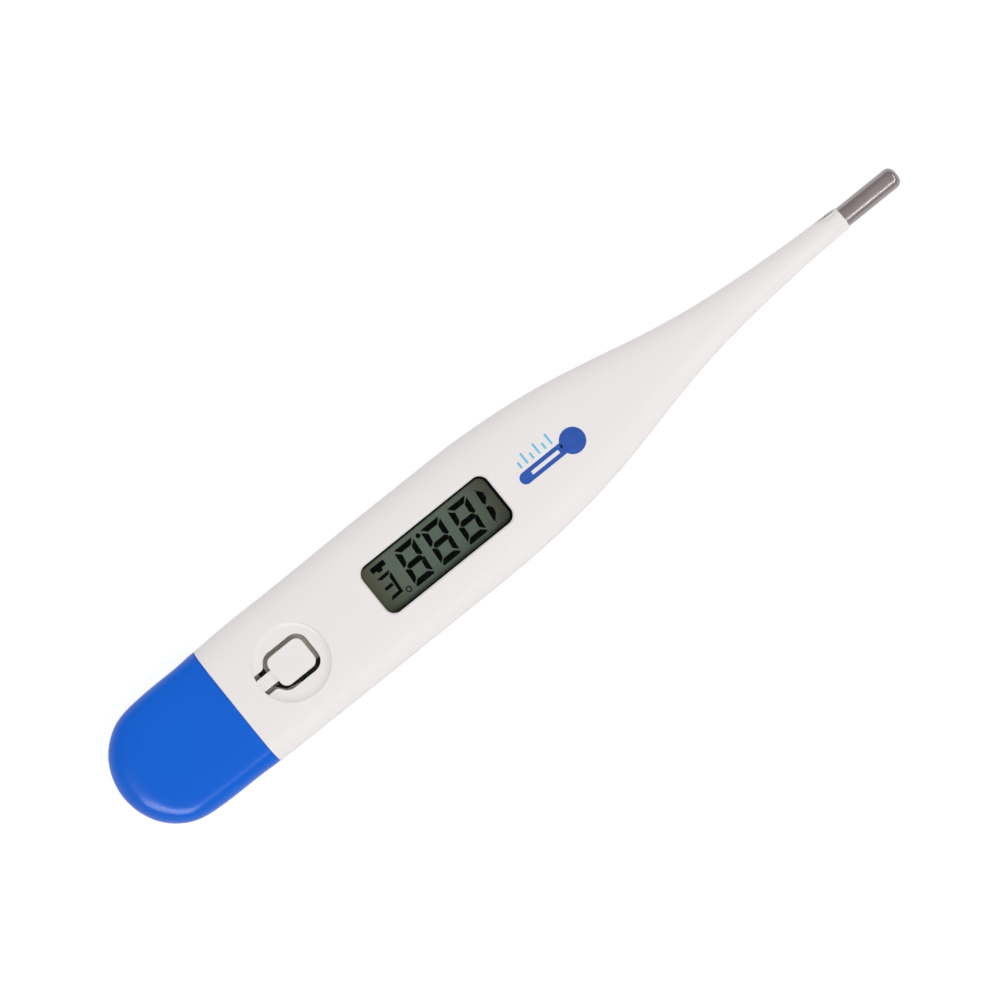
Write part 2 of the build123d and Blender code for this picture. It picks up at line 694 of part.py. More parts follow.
def switch_cover():
    with BuildPart() as body:
        with BuildSketch(Plane.XY.offset(SWITCH_BASE_TOP)):
            with Locations((SWITCH_X, SWITCH_Y)):
                Rectangle(6.9, 5.2)
                Circle(1.28, mode=Mode.SUBTRACT)
            # the +X +Y corner is cut away
            with BuildLine():
                Polyline(
                    (SWITCH_X + 3.6, SWITCH_Y + 0.70), (SWITCH_X + 3.6, SWITCH_Y + 2.8),
                    (SWITCH_X + 1.57, SWITCH_Y + 2.8), close=True,
                )
            make_face(mode=Mode.SUBTRACT)
        extrude(amount=SWITCH_COVER_TOP - SWITCH_BASE_TOP)
        # a tab down each end of the base
        tab_bottom = 6.3
        with BuildSketch(Plane.XY.offset(tab_bottom)):
            with Locations((SWITCH_X - 3.31, SWITCH_Y), (SWITCH_X + 3.31, SWITCH_Y)):
                Rectangle(0.28, 2.0)
        extrude(amount=SWITCH_BASE_TOP - tab_bottom)
    return body.part


def switch_terminals():
    # distance from the switch centre, length along X, height: foot, then upright
    legs = ((3.6, 0.9, 0.2), (3.25, 0.2, 0.75))
    with BuildPart() as body:
        for side_x in (-1, 1):
            for side_y in (-1, 1):
                for distance, length, height in legs:
                    with BuildSketch(Plane.XY.offset(BOARD_TOP)):
                        with Locations((SWITCH_X + side_x * distance, SWITCH_Y + side_y * 1.75)):
                            Rectangle(length, 0.7)
                    extrude(amount=height)
    return body.part


def switch_dome():
    centre = (SWITCH_X, DOME_TOP - DOME_RADIUS)
    inner_radius = DOME_RADIUS - DOME_THICKNESS
    with BuildPart() as body:
        with BuildSketch(Plane.XZ.offset(-SWITCH_Y)):
            with BuildLine():
                outer = CenterArc(centre, DOME_RADIUS, 90 - DOME_OUTER_ANGLE, DOME_OUTER_ANGLE)
                inner = CenterArc(centre, inner_radius, 90 - DOME_INNER_ANGLE, DOME_INNER_ANGLE)
                Line(outer @ 0, inner @ 0)
                Line(outer @ 1, inner @ 1)
            make_face()
        revolve(axis=Axis((SWITCH_X, SWITCH_Y, 0), (0, 0, 1)))
    return body.part


def switch_stem():
    with BuildPart() as body:
        # flange, then the stem
        for radius, height in ((1.75, 0.5), (1.18, SWITCH_STEM_TOP - SWITCH_STEM_BOTTOM)):
            with BuildSketch(Plane.XY.offset(SWITCH_STEM_BOTTOM)):
                with Locations((SWITCH_X, SWITCH_Y)):
                    Circle(radius)
            extrude(amount=height)
        fillet(body.faces().sort_by(Axis.Z)[-1].edges(), 0.12)
    return body.part


# ---------------------------------------------------------------- sounder
BUZZER_PLATE_TOP = FLOOR_TOP + 0.2
BUZZER_CERAMIC_TOP = BUZZER_PLATE_TOP + 0.18
# start x, y, z and end y of each lead: from the ceramic, from the plate
BUZZER_LEADS = (
    (22.6, 1.2, BUZZER_CERAMIC_TOP, LEAD_HOLE_Y),
    (26.0, -3.9, BUZZER_PLATE_TOP, -LEAD_HOLE_Y),
)


def buzzer_plate():
    return disc((BUZZER_X, 0), 5.2, FLOOR_TOP, BUZZER_PLATE_TOP)


def buzzer_ceramic():
    return disc((BUZZER_X, 0), 3.8, BUZZER_PLATE_TOP, BUZZER_CERAMIC_TOP)


def buzzer_leads():
    with BuildPart() as body:
        for x, y, z, end_y in BUZZER_LEADS:
            with BuildLine() as route:
                Spline(
                    (x, y, z), (x + 0.5, y + math.copysign(0.2, y), z + 0.5),
                    (LEAD_HOLE_X - 0.5, end_y, BOARD_BOTTOM - 0.6),
                    (LEAD_HOLE_X, end_y, BOARD_BOTTOM + 0.1),
                    tangents=((0, 0, 1), (0, 0, 1)),
                )
            with BuildSketch(Plane.XY.offset(z).move(Location((x, y, 0)))):
                Circle(0.12)
            sweep(path=route.wires()[0], is_frenet=True)
    return body.part


# ---------------------------------------------------------------- cell
# profiles: radius, z
CAN_PROFILE = [
    (0, CELL_TOP), (CELL_RADIUS - 0.35, CELL_TOP), (CELL_RADIUS - 0.1, CELL_TOP - 0.1),
    (CELL_RADIUS, CELL_TOP - 0.35), (CELL_RADIUS, 3.95), (CELL_RADIUS - 0.18, 3.76),
    (3.42, 3.76), (3.42, 3.98), (CELL_RADIUS - 0.25, 4.02),
    (CELL_RADIUS - 0.25, CELL_TOP - 0.28), (0, CELL_TOP - 0.28),
]
CUP_PROFILE = [
    (0, CELL_BOTTOM), (2.75, CELL_BOTTOM), (2.95, CELL_BOTTOM + 0.2), (3.2, CELL_BOTTOM + 0.5),
    (3.2, 6.3), (2.95, 6.3), (2.95, CELL_BOTTOM + 0.6), (2.7, CELL_BOTTOM + 0.25),
    (0, CELL_BOTTOM + 0.25),
]
GASKET_PROFILE = [
    (3.2, 4.02), (3.2, CELL_BOTTOM + 0.5), (3.12, CELL_BOTTOM + 0.36), (3.42, 3.72),
    (3.42, 4.0), (3.7, 4.03), (3.7, 6.6), (2.95, 6.6), (2.95, 6.3), (3.2, 6.3),
]


def cell_piece(profile):
    """Profile turned about the upright axis of the cell."""
    with BuildPart() as body:
        with BuildSketch(Plane.XZ):
            with BuildLine():
                Polyline(*[(CELL_X + radius, z) for radius, z in profile], close=True)
            make_face()
        revolve(axis=Axis((CELL_X, 0, 0), (0, 0, 1)))
    return body.part


# ---------------------------------------------------------------- contacts and solder
CONTACT_LEG_Y = 2.1
UPPER_THICKNESS, LOWER_THICKNESS = 0.22, 0.2
UPPER_PLATE = [                          # x, y, with a cut-off corner
    (40.03, -2.6), (42.5, -2.6), (42.5, 3.3), (36.2, 3.3),
    (36.2, 2.72), (38.33, 2.29), (39.46, 0.95), (40.03, 0.4),
]
UPPER_ARM = [                            # x, z of the lower face
    (42.2, TAIL_TOP), (43.0, TAIL_TOP), (46.9, CELL_TOP), (47.9, CELL_TOP + 0.28),
]
LOWER_STRIP = [(39.6, BOARD_BOTTOM - 0.2), (40.0, CHAMBER_FLOOR), (48.6, CHAMBER_FLOOR)]
LOWER_TONGUE = [                         # x, z
    (48.6, CHAMBER_FLOOR), (48.85, 3.10), (46.6, 3.50), (45.6, 3.33),
    (45.6, 3.15), (46.6, 3.30), (48.2, 3.10), (48.2, CHAMBER_FLOOR),
]


def positive_contact():
    with BuildPart() as body:
        # plate on the tail
        with BuildSketch(Plane.XY.offset(TAIL_TOP)):
            with BuildLine():
                Polyline(*UPPER_PLATE, close=True)
            make_face()
        extrude(amount=UPPER_THICKNESS)
        # leg down to the board
        with BuildSketch(Plane.XY.offset(BOARD_TOP)):
            with Locations((40.0, CONTACT_LEG_Y)):
                Rectangle(UPPER_THICKNESS, 1.0)
        extrude(amount=TAIL_TOP - BOARD_TOP)
        # spring arm on to the top of the cell
        with BuildSketch(Plane.XZ.offset(-1.1)):
            with BuildLine():
                Polyline(*strip(UPPER_ARM, UPPER_THICKNESS), close=True)
            make_face()
        extrude(amount=2.2)
    return body.part


def negative_contact():
    with BuildPart() as body:
        # strip along the chamber floor, then the tongue bent back up under the cell
        for outline, width in ((strip(LOWER_STRIP, LOWER_THICKNESS), 2.0), (LOWER_TONGUE, 1.2)):
            with BuildSketch(Plane.XZ.offset(-width / 2)):
                with BuildLine():
                    Polyline(*outline, close=True)
                make_face()
            extrude(amount=width)
    return body.part


def solder_joints(wires, contact):
    on_board = (Align.CENTER, Align.CENTER, Align.MIN)
    with BuildPart() as body:
        # probe leads, and the foot of the upper contact
        with Locations((-6.3, WIRE_PAD_Y, BOARD_TOP), (-6.3, -WIRE_PAD_Y, BOARD_TOP)):
            Sphere(0.55, arc_size1=0, align=on_board)
        with Locations((39.5, CONTACT_LEG_Y, BOARD_TOP)):
            Sphere(0.45, arc_size1=0, align=on_board)
        add(wires, mode=Mode.SUBTRACT)
        add(contact, mode=Mode.SUBTRACT)
    return body.part


# ---------------------------------------------------------------- files
os.makedirs("parts", exist_ok=True)

bead = thermistor_bead()
wires = lead_wires()
upper_contact = positive_contact()

save(casing(), "casing", WHITE)
save(display_window(), "display_window", CLEAR)
save(probe_tip(), "probe_tip", STEEL)
save(bead, "thermistor_bead", BLACK)
save(wires, "lead_wires", RED)
save(tip_adhesive(bead, wires), "tip_adhesive", RESIN)
save(battery_cap(), "battery_cap", BLUE)
save(power_button(), "power_button", WHITE)
save(carrier(), "carrier", WHITE)
save(circuit_board(), "circuit_board", GREEN)
save(chip_glob(), "chip_glob", BLACK)
save(chip_resistors(), "chip_resistors", BLACK)
save(chip_capacitors(), "chip_capacitors", TAN)
save(lcd_rear_glass(), "lcd_rear_glass", CLEAR)
save(lcd_front_glass(), "lcd_front_glass", CLEAR)
save(lcd_front_polariser(), "lcd_front_polariser", POLARISER_GREY)
save(lcd_reflector(), "lcd_reflector", REFLECTOR_GREY)
save(zebra_strip(), "zebra_strip", ZEBRA_GREY)
save(lcd_frame(), "lcd_frame", BLACK)
save(switch_base(), "switch_base", BLACK)
save(switch_cover(), "switch_cover", STEEL)
save(switch_terminals(), "switch_terminals", STEEL)
save(switch_dome(), "switch_dome", STEEL)
save(switch_stem(), "switch_stem", BLACK)
save(buzzer_plate(), "buzzer_plate", BRASS)
save(buzzer_ceramic(), "buzzer_ceramic", CERAMIC)
save(buzzer_leads(), "buzzer_leads", BLACK)
save(cell_piece(CAN_PROFILE), "battery_can", STEEL)
save(cell_piece(CUP_PROFILE), "battery_cup", STEEL)
save(cell_piece(GASKET_PROFILE), "battery_gasket", GASKET_GREY)
save(upper_contact, "positive_contact", STEEL)
save(negative_contact(), "negative_contact", STEEL)
save(solder_joints(wires, upper_contact), "solder_joints", SOLDER)
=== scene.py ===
import math
import random

import bpy
import bmesh
import numpy as np
from mathutils import Matrix, Vector
from mathutils.bvhtree import BVHTree


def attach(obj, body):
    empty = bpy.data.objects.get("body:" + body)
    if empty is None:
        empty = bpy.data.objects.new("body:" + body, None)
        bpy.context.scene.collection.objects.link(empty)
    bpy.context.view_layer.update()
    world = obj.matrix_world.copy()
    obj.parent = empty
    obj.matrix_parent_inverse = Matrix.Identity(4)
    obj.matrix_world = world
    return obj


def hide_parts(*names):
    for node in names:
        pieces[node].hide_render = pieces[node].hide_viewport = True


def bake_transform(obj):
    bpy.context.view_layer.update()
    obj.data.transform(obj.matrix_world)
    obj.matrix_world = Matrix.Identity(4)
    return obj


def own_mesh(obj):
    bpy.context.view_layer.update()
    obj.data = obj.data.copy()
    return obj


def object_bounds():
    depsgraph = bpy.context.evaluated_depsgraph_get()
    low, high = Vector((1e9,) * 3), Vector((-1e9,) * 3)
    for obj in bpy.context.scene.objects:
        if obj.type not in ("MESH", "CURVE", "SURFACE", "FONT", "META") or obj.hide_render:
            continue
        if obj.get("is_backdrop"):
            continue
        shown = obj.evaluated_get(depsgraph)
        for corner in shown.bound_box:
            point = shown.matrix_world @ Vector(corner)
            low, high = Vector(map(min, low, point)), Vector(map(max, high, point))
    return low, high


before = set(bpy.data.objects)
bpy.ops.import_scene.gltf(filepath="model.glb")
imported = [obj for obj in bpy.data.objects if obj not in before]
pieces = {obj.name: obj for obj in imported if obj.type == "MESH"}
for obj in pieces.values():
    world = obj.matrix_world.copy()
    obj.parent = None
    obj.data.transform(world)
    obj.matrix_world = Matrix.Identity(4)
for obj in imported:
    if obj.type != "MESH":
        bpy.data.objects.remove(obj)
cad_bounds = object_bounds()
scene = bpy.context.scene
random.seed(7)

MM = 0.001
AXIS_Z = 5.15           # height of the body's long axis
BOARD_Z = 4.70          # height the leads' board ends are measured from
CAP_END = 63.5          # x the cap's stations are measured from


# ------------------------------------------------------------------ materials
def srgb(*rgb):
    """sRGB 0..255 to linear, with full alpha."""
    channels = []
    for value in rgb:
        value /= 255.0
        low = value <= 0.04045
        channels.append(value / 12.92 if low else ((value + 0.055) / 1.055) ** 2.4)
    return (*channels, 1.0)


def add_node(tree, kind, **props):
    node = tree.nodes.new(kind)
    for key, value in props.items():
        setattr(node, key, value)
    return node


def mix_shaders(tree, factor, first, second):
    mix = add_node(tree, "ShaderNodeMixShader")
    for socket, source in zip(mix.inputs, (factor, first, second)):
        tree.links.new(source, socket)
    return mix.outputs[0]


class Surface:
    """A node material built round a Principled shader; colours are linear."""

    def __init__(self, name, colour, roughness, metallic=0.0):
        self.colour = colour
        self.material = bpy.data.materials.new(name)
        self.material.use_nodes = True
        self.material.diffuse_color = colour
        self.tree = self.material.node_tree
        self.shader = self.tree.nodes["Principled BSDF"]
        self.set(Base_Color=colour, Roughness=roughness, Metallic=metallic)
        self.coord = self.node("ShaderNodeTexCoord").outputs["Object"]

    def set(self, **values):
        """Sets Principled inputs, an underscore standing for a space."""
        for key, value in values.items():
            self.shader.inputs[key.replace("_", " ")].default_value = value

    def node(self, kind, **props):
        return add_node(self.tree, kind, **props)

    def link(self, source, socket):
        self.tree.links.new(source, socket)

    def drive(self, key, source):
        """Feeds a Principled input."""
        self.link(source, self.shader.inputs[key])

    def noise(self, scale, detail, roughness=0.5, stretch=(1, 1, 1), distortion=0.0):
        mapping = self.node("ShaderNodeMapping")
        mapping.inputs["Scale"].default_value = stretch
        self.link(self.coord, mapping.inputs["Vector"])
        noise = self.node("ShaderNodeTexNoise")
        noise.inputs["Scale"].default_value = scale
        noise.inputs["Detail"].default_value = detail
        noise.inputs["Roughness"].default_value = roughness
        noise.inputs["Distortion"].default_value = distortion
        self.link(mapping.outputs["Vector"], noise.inputs["Vector"])
        return noise.outputs["Fac"]

    def ramp(self, factor, stops):
        ramp = self.node("ShaderNodeValToRGB")
        elements = ramp.color_ramp.elements
        while len(elements) < len(stops):
            elements.new(0.5)
        for element, (position, colour) in zip(elements, stops):
            element.position = position
            element.color = colour if len(colour) == 4 else (*colour, 1)
        self.link(factor, ramp.inputs["Fac"])
        return ramp.outputs["Color"]

    def remap(self, value, low=0.0, high=1.0, span=(0.3, 0.7)):
        """Maps a span of the value (by default the useful span of noise) to low..high."""
        remap = self.node("ShaderNodeMapRange")
        remap.inputs["From Min"].default_value = span[0]
        remap.inputs["From Max"].default_value = span[1]
        remap.inputs["To Min"].default_value = low
        remap.inputs["To Max"].default_value = high
        self.link(value, remap.inputs["Value"])
        return remap.outputs["Result"]

    def multiply(self, first, second):
        mix = self.node("ShaderNodeMix", data_type="RGBA", blend_type="MULTIPLY")
        mix.inputs["Factor"].default_value = 1.0
        self.link(first, mix.inputs[6])     # colour A
        self.link(second, mix.inputs[7])    # colour B
        return mix.outputs[2]               # colour result

    def bump(self, height, strength, distance):
        self.relief = self.node("ShaderNodeBump")
        self.relief.inputs["Strength"].default_value = strength
        self.relief.inputs["Distance"].default_value = distance
        self.link(height, self.relief.inputs["Height"])
        self.drive("Normal", self.relief.outputs["Normal"])

    def soften(self, radius):
        """Shades sharp edges as if they were rounded by a small radius."""
        edge = self.node("ShaderNodeBevel", samples=6)
        edge.inputs["Radius"].default_value = radius
        self.link(edge.outputs["Normal"], self.relief.inputs["Normal"])

    def drift(self, amount, scale, stretch=(1, 1, 1)):
        """Lets the base colour drift faintly in tone."""
        dark = tuple(max(0.0, c * (1 - amount)) for c in self.colour[:3])
        light = tuple(min(1.0, c * (1 + amount)) for c in self.colour[:3])
        noise = self.noise(scale, detail=5, roughness=0.6, stretch=stretch)
        self.drive("Base Color", self.ramp(noise, [(0.35, dark), (0.65, light)]))

    def vary_roughness(self, noise, low, high):
        self.drive("Roughness", self.remap(noise, low, high))


# name, sRGB colour, roughness, metallic, tone drift, scale of the drift
PLAIN_SURFACES = [
    ("black_plastic", (18, 19, 18), 0.45, 0.0, 0.2, 200),
    ("carrier_plastic", (222, 220, 214), 0.42, 0.0, 0.02, 80),
    ("potting_resin", (16, 16, 17), 0.3, 0.0, 0.2, 300),
    ("chip_ceramic", (30, 30, 32), 0.5, 0.0, 0.25, 500),
    ("chip_capacitor", (168, 138, 100), 0.5, 0.0, 0.08, 500),
    ("brass_plate", (206, 172, 98), 0.3, 1.0, 0.06, 200),
    ("piezo_ceramic", (214, 212, 204), 0.4, 0.3, 0.04, 300),
    ("gasket_nylon", (205, 204, 196), 0.5, 0.0, 0.03, 300),
    ("solder", (190, 192, 195), 0.22, 1.0, 0.08, 900),
    ("epoxy", (196, 170, 118), 0.25, 0.0, 0.08, 400),
    ("bead_coat", (24, 22, 22), 0.25, 0.0, 0.2, 900),
    ("red_wire", (178, 34, 30), 0.35, 0.0, 0.06, 700),
    ("black_wire", (24, 24, 26), 0.35, 0.0, 0.15, 700),
    ("display_glass", (150, 160, 148), 0.08, 0.0, 0.02, 120),
    ("reflector_film", (120, 126, 112), 0.5, 0.3, 0.05, 900),
    ("display_ink", (6, 9, 8), 0.7, 0.0, 0.15, 900),
    ("print_blue", (30, 82, 176), 0.4, 0.0, 0.08, 900),
    ("print_sky", (112, 196, 232), 0.4, 0.0, 0.06, 900),
    # the display frame's near-black is partly its own colour and partly painted shade standing
    # for the dark gap round the display
    ("frame_black_and_gap_shade", (9, 9, 9), 0.7, 0.0, 0.2, 300),
]
# name: noise scale, bump strength, bump distance
GRAIN = {
    "black_plastic": (1800, 0.15, 0.00002),
    "carrier_plastic": (1500, 0.12, 0.00002),
    "potting_resin": (500, 0.2, 0.00005),
    "solder": (900, 0.25, 0.00004),
}
SHADER_EXTRAS = {
    "potting_resin": {"Coat_Weight": 0.6},
    "epoxy": {"Transmission_Weight": 0.2},
    "display_ink": {"Specular_IOR_Level": 0.0},
    "frame_black_and_gap_shade": {"Specular_IOR_Level": 0.05},
}


def plain_surface(name, colour, roughness, metallic, drift, drift_scale):
    surface = Surface(name, srgb(*colour), roughness, metallic)
    surface.set(**SHADER_EXTRAS.get(name, {}))
    surface.drift(drift, drift_scale)
    if name in GRAIN:
        scale, strength, distance = GRAIN[name]
        surface.bump(surface.noise(scale, detail=3), strength, distance)
    return surface


def white_abs():
    white = Surface("white_abs", srgb(238, 234, 233), roughness=0.34)
    white.drift(amount=0.003, scale=90)
    white.vary_roughness(white.noise(420, detail=6, roughness=0.6), low=0.31, high=0.37)
    white.bump(white.noise(2400, detail=2), strength=0.03, distance=0.00001)
    white.soften(radius=0.00012)
    white.set(Specular_IOR_Level=0.32, Subsurface_Weight=0.06,
              Subsurface_Radius=(0.0012, 0.0011, 0.0010), Subsurface_Scale=0.6)
    return white


def blue_abs():
    """Blue plastic with rubbed scratches."""
    blue = Surface("blue_abs", srgb(4, 97, 212), roughness=0.22)
    blue.drift(amount=0.03, scale=60)
    blue.set(Specular_IOR_Level=0.25)
    scratch = blue.noise(900, detail=2, roughness=0.4, stretch=(1.0, 9.0, 1.0), distortion=0.4)
    blue.vary_roughness(scratch, low=0.18, high=0.26)
    blue.bump(scratch, strength=0.03, distance=0.00002)
    blue.soften(radius=0.00016)
    return blue


def probe_steel():
    """Stainless steel, drawn along x."""
    steel = Surface("probe_steel", srgb(196, 187, 188), roughness=0.3, metallic=1.0)
    steel.drift(amount=0.06, scale=260, stretch=(1, 4, 4))
    drawn = steel.noise(1400, detail=4, roughness=0.6, stretch=(0.12, 3.0, 3.0))
    steel.vary_roughness(drawn, low=0.22, high=0.34)
    steel.bump(drawn, strength=0.10, distance=0.00002)
    return steel


def contact_steel():
    """Nickel-plated steel, a warm grey."""
    nickel = Surface("contact_steel", srgb(236, 226, 214), roughness=0.5, metallic=0.25)
    nickel.drift(amount=0.05, scale=300, stretch=(1, 6, 1))
    grain = nickel.noise(900, detail=4, roughness=0.6, stretch=(1, 8, 1))
    nickel.vary_roughness(grain, low=0.35, high=0.55)
    return nickel


def cell_steel():
    steel = Surface("cell_steel", srgb(205, 205, 204), roughness=0.25, metallic=1.0)
    steel.drift(amount=0.04, scale=200)
    grain = steel.noise(1200, detail=4, roughness=0.6, stretch=(1, 1, 0.2))
    steel.vary_roughness(grain, low=0.18, high=0.34)
    return steel


def board_mask():
    """Green solder mask, copper tracks showing through as lighter bands."""
    board = Surface("board_mask", srgb(22, 70, 44), roughness=0.3)
    board.set(Coat_Weight=0.4, Coat_Roughness=0.15)
    tracks = board.node("ShaderNodeTexVoronoi", feature="DISTANCE_TO_EDGE", distance="MANHATTAN")
    tracks.inputs["Scale"].default_value = 620
    board.link(board.coord, tracks.inputs["Vector"])
    edge = tracks.outputs["Distance"]
    stops = [(0.05, srgb(44, 112, 66)), (0.09, srgb(20, 62, 40))]
    board.drive("Base Color", board.ramp(edge, stops))
    board.bump(edge, strength=0.2, distance=0.00002)
    return board


def zebra_rubber():
    """Rubber in dark and light layers along x."""
    zebra = Surface("zebra_rubber", srgb(90, 92, 102), roughness=0.6)
    wave = zebra.node("ShaderNodeTexWave", wave_type="BANDS", bands_direction="X")
    wave.inputs["Scale"].default_value = 3200
    zebra.link(zebra.coord, wave.inputs["Vector"])
    stops = [(0.45, srgb(30, 30, 34)), (0.55, srgb(150, 150, 160))]
    zebra.drive("Base Color", zebra.ramp(wave.outputs["Fac"], stops))
    return zebra


def polariser_film():
    """Green-grey film, with painted shade that darkens and browns it towards its ends, a painted
    shadow of the window's edges along both sides and a faint painted light band just inside the
    side at -y.
    """
    film = Surface("polariser_film", srgb(90, 102, 91), roughness=0.55)
    position = film.node("ShaderNodeSeparateXYZ")
    film.link(film.coord, position.inputs["Vector"])
    # painted shade: the film's tone darkens and browns towards both ends of the display
    along = film.ramp(film.remap(position.outputs["X"], span=(1.8 * MM, 22.2 * MM)), [
        (0.0, srgb(76, 76, 67)), (0.07, srgb(82, 84, 75)), (0.20, srgb(92, 102, 92)),
        (0.50, srgb(95, 107, 97)), (0.80, srgb(98, 108, 98)), (0.92, srgb(92, 96, 82)),
        (1.0, srgb(88, 87, 72)),
    ])
    # painted shadow of the window's edges, darkest at both sides, with a faint painted light
    # band near the side at -y
    painted_side_shade = film.ramp(film.remap(position.outputs["Y"], span=(-3.7 * MM, 3.7 * MM)), [
        (0.0, (0.30, 0.30, 0.28)), (0.030, (0.40, 0.40, 0.38)), (0.058, (1.12, 1.10, 1.06)),
        (0.25, (1.03, 1.03, 1.02)), (0.70, (0.97, 0.98, 0.98)), (0.88, (0.82, 0.84, 0.84)),
        (0.93, (0.58, 0.60, 0.60)), (1.0, (0.22, 0.22, 0.22)),
    ])
    specks = film.ramp(film.noise(2600, detail=3, roughness=0.7),
                       [(0.3, (0.94, 0.94, 0.94)), (0.7, (1.06, 1.06, 1.05))])
    film.drive("Base Color", film.multiply(film.multiply(along, painted_side_shade), specks))
    film.set(Specular_IOR_Level=0.1)
    return film


def clear_window():
    """Lets light and shadow straight through, with a weak reflection and specks of dust."""
    window = Surface("clear_window", srgb(235, 238, 235), roughness=0.05)
    clear = window.node("ShaderNodeBsdfTransparent")
    clear.inputs["Color"].default_value = (0.97, 0.98, 0.97, 1)
    shine = window.node("ShaderNodeBsdfGlossy")
    shine.inputs["Roughness"].default_value = 0.08
    smears = window.noise(500, detail=4, roughness=0.6)
    window.link(window.remap(smears, low=0.05, high=0.14), shine.inputs["Roughness"])
    fresnel = window.node("ShaderNodeFresnel")
    fresnel.inputs["IOR"].default_value = 1.16
    # only the outward faces reflect
    facing = window.node("ShaderNodeNewGeometry")
    outward = window.node("ShaderNodeMath", operation="SUBTRACT")
    outward.inputs[0].default_value = 1.0
    window.link(facing.outputs["Backfacing"], outward.inputs[1])
    reflection = window.node("ShaderNodeMath", operation="MULTIPLY")
    window.link(outward.outputs[0], reflection.inputs[0])
    window.link(fresnel.outputs["Fac"], reflection.inputs[1])
    glazed = mix_shaders(window.tree, reflection.outputs[0], clear.outputs[0], shine.outputs[0])
    dust = window.node("ShaderNodeBsdfDiffuse")
    dust.inputs["Color"].default_value = srgb(200, 202, 196)
    dust_cover = window.ramp(window.noise(1500, detail=2),
                             [(0.76, (0, 0, 0)), (0.84, (0.14, 0.14, 0.14))])
    dusty = mix_shaders(window.tree, dust_cover, glazed, dust.outputs[0])
    window.link(dusty, window.tree.nodes["Material Output"].inputs["Surface"])
    return window


surfaces = {row[0]: plain_surface(*row) for row in PLAIN_SURFACES}
for build in (white_abs, blue_abs, probe_steel, contact_steel, cell_steel, board_mask,
              zebra_rubber, polariser_film, clear_window):
    surfaces[build.__name__] = build()

PIECE_SURFACES = {
    "white_abs": ["casing", "power_button"],
    "blue_abs": ["battery_cap"],
    "probe_steel": ["probe_tip"],
    "clear_window": ["display_window"],
    "contact_steel": ["switch_cover", "switch_terminals", "switch_dome",
                      "positive_contact", "negative_contact"],
    "cell_steel": ["battery_can", "battery_cup"],
    "frame_black_and_gap_shade": ["lcd_frame"],
    "black_plastic": ["switch_base", "switch_stem"],
    "carrier_plastic": ["carrier"],
    "board_mask": ["circuit_board"],
    "potting_resin": ["chip_glob"],
    "chip_ceramic": ["chip_resistors"],
    "chip_capacitor": ["chip_capacitors"],
    "zebra_rubber": ["zebra_strip"],
    "brass_plate": ["buzzer_plate"],
    "piezo_ceramic": ["buzzer_ceramic"],
    "gasket_nylon": ["battery_gasket"],
    "solder": ["solder_joints"],
    "epoxy": ["tip_adhesive"],
    "bead_coat": ["thermistor_bead"],
    "black_wire": ["buzzer_leads"],
    "display_glass": ["lcd_rear_glass", "lcd_front_glass"],
    "reflector_film": ["lcd_reflector"],
    "polariser_film": ["lcd_front_polariser"],
    "red_wire": ["lead_wires"],
}


def paint(data, surface):
    data.materials.clear()
    data.materials.append(surface.material)


for surface_name, piece_names in PIECE_SURFACES.items():
    for piece_name in piece_names:
        paint(pieces[piece_name].data, surfaces[surface_name])


# ------------------------------------------------------------------ geometry helpers
def add_object(name, mesh, surface):
    added = bpy.data.objects.new(name, mesh)
    scene.collection.objects.link(added)
    paint(mesh, surface)
    return added


def smooth(mesh):
    for face in mesh.polygons:
        face.use_smooth = True


def add_mesh(name, verts, faces, surface):
    mesh = bpy.data.meshes.new(name)
    mesh.from_pydata(verts, [], faces)
    mesh.validate()
    mesh.update()
    return add_object(name, mesh, surface)


def counterclockwise(poly):
    area = sum(a[0] * b[1] - b[0] * a[1] for a, b in zip(poly, poly[1:] + poly[:1]))
    return poly[::-1] if area < 0 else poly


def corners(poly):
    """Each corner of a polygon with its neighbours: before, corner, after."""
    for i, point in enumerate(poly):
        yield Vector(poly[i - 1]), Vector(point), Vector(poly[(i + 1) % len(poly)])


def prisms(polys, bottom, top):
    """Prisms over polygons, as one vertex and face list in metres."""
    verts, faces = [], []
    for poly in map(counterclockwise, polys):
        n, first = len(poly), len(verts)
        verts += [(x * MM, y * MM, z * MM) for z in (bottom, top) for x, y in poly]
        faces.append(tuple(range(first + n - 1, first - 1, -1)))
        faces.append(tuple(range(first + n, first + 2 * n)))
        faces += [(first + i, first + (i + 1) % n, first + n + (i + 1) % n, first + n + i)
                  for i in range(n)]
    return verts, faces


def rounded(poly, radius, steps=3):
    """Rounds each corner with a quadratic curve."""
    points = []
    for before, corner, after in corners(poly):
        to_before, to_after = before - corner, after - corner
        start = corner + to_before.normalized() * min(radius, to_before.length * 0.45)
        end = corner + to_after.normalized() * min(radius, to_after.length * 0.45)
        for k in range(steps + 1):
            t = k / steps
            point = start * (1 - t) ** 2 + corner * 2 * t * (1 - t) + end * t ** 2
            points.append((point.x, point.y))
    return points


def grown(poly, distance):
    """Moves each side of a small polygon outward."""
    points = []
    for before, corner, after in corners(counterclockwise(poly)):
        side_in, side_out = (corner - before).normalized(), (after - corner).normalized()
        normal_in = Vector((side_in.y, -side_in.x))
        normal_out = Vector((side_out.y, -side_out.x))
        middle = (normal_in + normal_out).normalized()
        points.append(tuple(corner + middle * (distance / max(middle.dot(normal_in), 0.5))))
    return points


def disc(cx, cy, radius, count=28):
    turns = [2 * math.pi * i / count for i in range(count)]
    return [(cx + radius * math.cos(a), cy + radius * math.sin(a)) for a in turns]


def box(x0, x1, y0, y1):
    return [(x0, y0), (x1, y0), (x1, y1), (x0, y1)]


